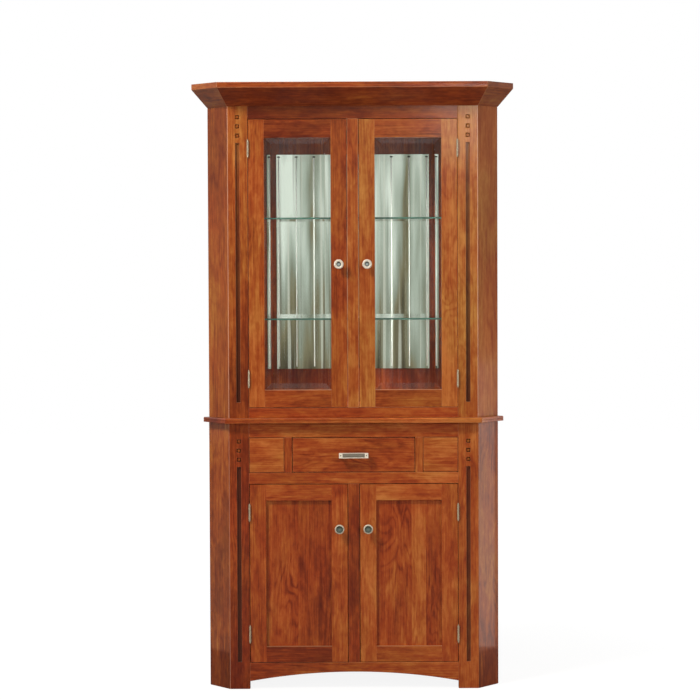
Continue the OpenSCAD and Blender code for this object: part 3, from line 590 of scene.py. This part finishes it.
# The crown's returns shine more
CROWN_RETURN = {**BARE_TOP, "coat": (*TOP, 0.8, 0.0)}
# Painted light and shade on the crown: its upright band is painted paler than the slope below it,
# which faces down
BAND = (2.0128, 2.0132)
# The base's returns have a dull foot, and shine above it; the foot is painted darker, painted shade
# in place of the floor's dark reflection
FOOT_COAT = (0.118, 0.128, 0.05, 0.7)
PAINTED_FOOT_SHADE = (0.13, 0.118)


def glued(pitch):
    """Seams of a top or shelf that is glued from boards of one tone."""
    return [(i * pitch - 0.2, 0.0) for i in range(5)]


# Name: grain, tone, warmth and other settings
BOARDS = {
    # Painted light: the crown is paler on its band and towards the right
    "crown_front": ("x", -0.12, 0.2, {
        **BARE_TOP, "shade": [("z", *BAND, 0.11), ("x", -0.3, 0.4, 0.11)]}),
    "crown_left": ("x", 0.08, 1.1, {**CROWN_RETURN, "turn": 45}),
    "crown_right": ("x", 0.06, 0.9, {**CROWN_RETURN, "turn": -45}),
    "upper_top": ("x", -0.05, 0.0, {"planks": glued(0.09), "coat": 0.0, "rough": 0.6}),
    "upper_floor": ("x", 0.0, 0.0, {}),
    "upper_stile_left": ("z", 0.12, 0.6, {
        **BARE_TOP, "recess_shade": 1.0, "corner_highlight": 0.7, "shade": [("z", 1.5, 1.0, -0.21)]}),
    "upper_stile_right": ("z", 0.35, 0.9, {
        **BARE_TOP, "recess_shade": 1.0, "corner_highlight": 0.95, "shade": [("z", 1.5, 1.0, -0.15)]}),
    # Painted shadow of the crown on the top rail, paler towards the right with a painted sheen
    "upper_top_rail": ("x", -0.22, 0.5, {**BARE_TOP, "shade": [("x", -0.2, 0.3, 0.26)]}),
    "upper_bottom_rail": ("x", 0.04, 0.0, {"shade": [("x", 0.0, 0.3, 0.13)]}),
    "upper_mullion": ("z", 0.18, 0.5, {}),
    # Painted shadow of the crown: darker towards the top
    "upper_side_left": ("z", 0.09, 1.1, {
        **BARE_TOP, "blotch": 0.6, "shade": [("z", 1.3, 1.9, -0.22)]}),
    "upper_side_right": ("z", 0.27, 0.7, {**BARE_TOP, "blotch": 0.6}),
    "upper_wall_left": ("z", -0.18, 0.0, LIT_WALL),
    "upper_wall_right": ("z", -0.18, 0.0, LIT_WALL),
    "upper_back": ("z", -0.18, 0.0, LIT_WALL),
    # Painted light and shade: darker at its angled ends, paler towards the right
    "waist_board": ("x", 0.13, 0.2, {
        "coat": 0.8,
        "shade": [("x", -0.2, 0.4, 0.18), ("x", -0.42, -0.47, -0.42), ("x", 0.42, 0.47, -0.26)]}),
    "base_stile_left": ("z", -0.15, -0.1, {
        "recess_shade": 1.0, "corner_highlight": 0.35, "shade": [("z", 0.4, 0.8, 0.08)]}),
    "base_stile_right": ("z", 0.19, 0.3, {"recess_shade": 0.8}),
    "base_top_rail": ("x", 0.22, 0.1, {}),
    "base_mid_rail": ("x", 0.16, 0.1, {"shade": [("x", -0.1, 0.3, 0.19)]}),
    "base_bottom_rail": ("x", 0.05, 0.1, {"shade": [("x", -0.2, 0.3, 0.13)]}),
    "base_mullion": ("z", -0.04, -0.1, {}),
    "drawer_dividers": ("z", 0.04, 0.2, {"shade": [("x", -0.2, 0.2, 0.28)]}),
    "false_fronts": ("x", 0.22, 0.2, {"shade": [("x", -0.2, 0.3, 0.08)]}),
    "base_side_left": ("z", 0.05, 0.9, {
        "coat": FOOT_COAT, "coat_rough": 0.08,
        "shade": [("z", 0.7, 0.2, -0.14), ("z", *PAINTED_FOOT_SHADE, -0.18)]}),
    "base_side_right": ("z", 0.02, 0.9, {
        "coat": FOOT_COAT, "coat_rough": 0.05, "shade": [("z", *PAINTED_FOOT_SHADE, -0.16)]}),
    "base_wall_left": ("z", -0.12, 0.0, WALL),
    "base_wall_right": ("z", -0.12, 0.0, WALL),
    "base_back": ("z", -0.12, 0.0, WALL),
    "base_floor": ("x", -0.05, 0.0, {}),
    "base_shelf": ("x", 0.0, 0.0, {"planks": glued(0.1)}),
    "drawer_front": ("x", 0.15, 0.1, {}),
    "drawer_sides": ("z", 0.0, 0.0, PALE),
    "drawer_back": ("x", 0.0, 0.0, PALE),
    "drawer_bottom": ("x", 0.0, 0.0, PALE),
    "drawer_runners": ("x", 0.0, 0.0, PALE),
    "inlay_pegs": ("z", 0.30, 1.2, {
        "recess_shade": 1.0, "shade": [("z", 1.2, 0.9, -0.18), ("x", 0.2, -0.2, -0.09)]}),
    "lower_left_panel": ("z", 0.15, 0.0, {"planks": [(-0.188, -0.08)], "flame": 1.9}),
    "lower_right_panel": ("z", 0.10, 0.0, {
        "planks": [(0.194, 0.08), (0.242, -0.08)], "flame": 1.5}),
}
# How much of the painted highlight the eased edges get, where it isn't the usual share; on the
# upper mullion it also paints the light seen through the door gaps
EDGE_HIGHLIGHT_SHARE = {"crown_front": 0.30, "crown_left": 0.30, "crown_right": 0.30,
              "upper_mullion": 0.45, "waist_board": 0.25}
USUAL_EDGE_HIGHLIGHT = 0.10
# How far edges are eased, in metres
BOARD_EDGE = 0.0016
FRAME_EDGE = 0.0015
PANE_EDGE = 0.0016
FITTING_EDGE = 0.0003

# Level: stile's width, bottom rail's width, height that parts the rails, share of the painted edge
# highlight, which on the upper doors also paints the light seen through their gaps
LEVELS = {
    "upper": (0.0525, 0.058, 1.4, 0.50),
    "lower": (0.054, 0.053, 0.4, 0.12),
}
# Door: warmth, painted light and shade along z, and tones of the left stile, right stile, bottom
# rail and top rail; the upper left door's dark top rail is painted shadow of the crown
DOORS = {
    "upper_left": (0.4, [("z", 1.8, 1.1, 0.13)], 0.16, -0.01, -0.12, -0.20),
    "upper_right": (0.7, [("z", 1.8, 1.1, 0.06)], 0.25, 0.33, 0.02, 0.12),
    "lower_left": (0.0, [], 0.07, 0.18, -0.20, 0.14),
    "lower_right": (0.1, [], 0.31, 0.18, 0.18, 0.25),
}
# Level: a knob's metal, the radius of its dish, and the dish's pale and dark colours
KNOBS = {
    "upper": (NICKEL, 0.0080, (0.40, 0.46, 0.45), (0.020, 0.022, 0.018)),
    "lower": (WORN_NICKEL, 0.0118, (0.17, 0.21, 0.18), (0.060, 0.075, 0.060)),
}

make_camera()
make_world()
make_floor()
for name, settings in LAMPS.items():
    area_lamp(name, *settings)
area_lamp("inner", *INNER_LAMP, spread=INNER_SPREAD, hidden=True)

for number, (name, (grain, tone, warm, more)) in enumerate(BOARDS.items()):
    share = EDGE_HIGHLIGHT_SHARE.get(name, USUAL_EDGE_HIGHLIGHT)
    face, edge = wood_pair(name, grain, 1.0 + number, tone, warm, share, **more)
    dress(name, face, edge=0.0 if name == "inlay_pegs" else BOARD_EDGE, edge_material=edge)

for number, (door, (warm, shade, *tones)) in enumerate(DOORS.items()):
    name = f"{door}_door_frame"
    stile, rail, height, share = LEVELS[door.split("_")[0]]
    low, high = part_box(name)
    face, edge = wood_pair(name, "z", 51.0 + 4 * number, 0.0, warm, share, shade=shade,
                           frame_parts=(low.x + stile, high.x - stile, height, *tones),
                           sill=low.z + rail)
    dress(name, face, edge=FRAME_EDGE, edge_material=edge)

hinge_metal = metal("hinge_nickel", HINGE_NICKEL, 0.24, metallic=0.35)
for side in ("left", "right"):
    dress(f"upper_{side}_glass", clear_glass(f"{side}_pane", PANE_TINT), edge=PANE_EDGE,
          segments=3, limit=8)
    for level in ("upper", "lower"):
        dress(f"{level}_{side}_door_fittings", hinge_metal, edge=FITTING_EDGE)
        knob = f"{level}_{side}_knob"
        dress(knob, knob_metal(knob, *KNOBS[level]), edge=0.0006)
dress("hinge_frame_leaves", hinge_metal, edge=FITTING_EDGE)
dress("hinge_pins", hinge_metal, edge=FITTING_EDGE)
dress("shelf_pins", metal("pin_steel", STEEL, 0.3), edge=FITTING_EDGE)
dress("drawer_pull", pull_metal("drawer_pull"), edge=0.0005)
dress("door_catches", plastic("catch_plastic", CATCH_BROWN), edge=0.0008)
dress("glass_shelves", clear_glass("shelf_glass", SHELF_TINT, SHELF_EDGE), edge=0.0012)
dress("back_mirror", silvered("back_mirror"))

bpy.context.scene.view_settings.view_transform = "Standard"
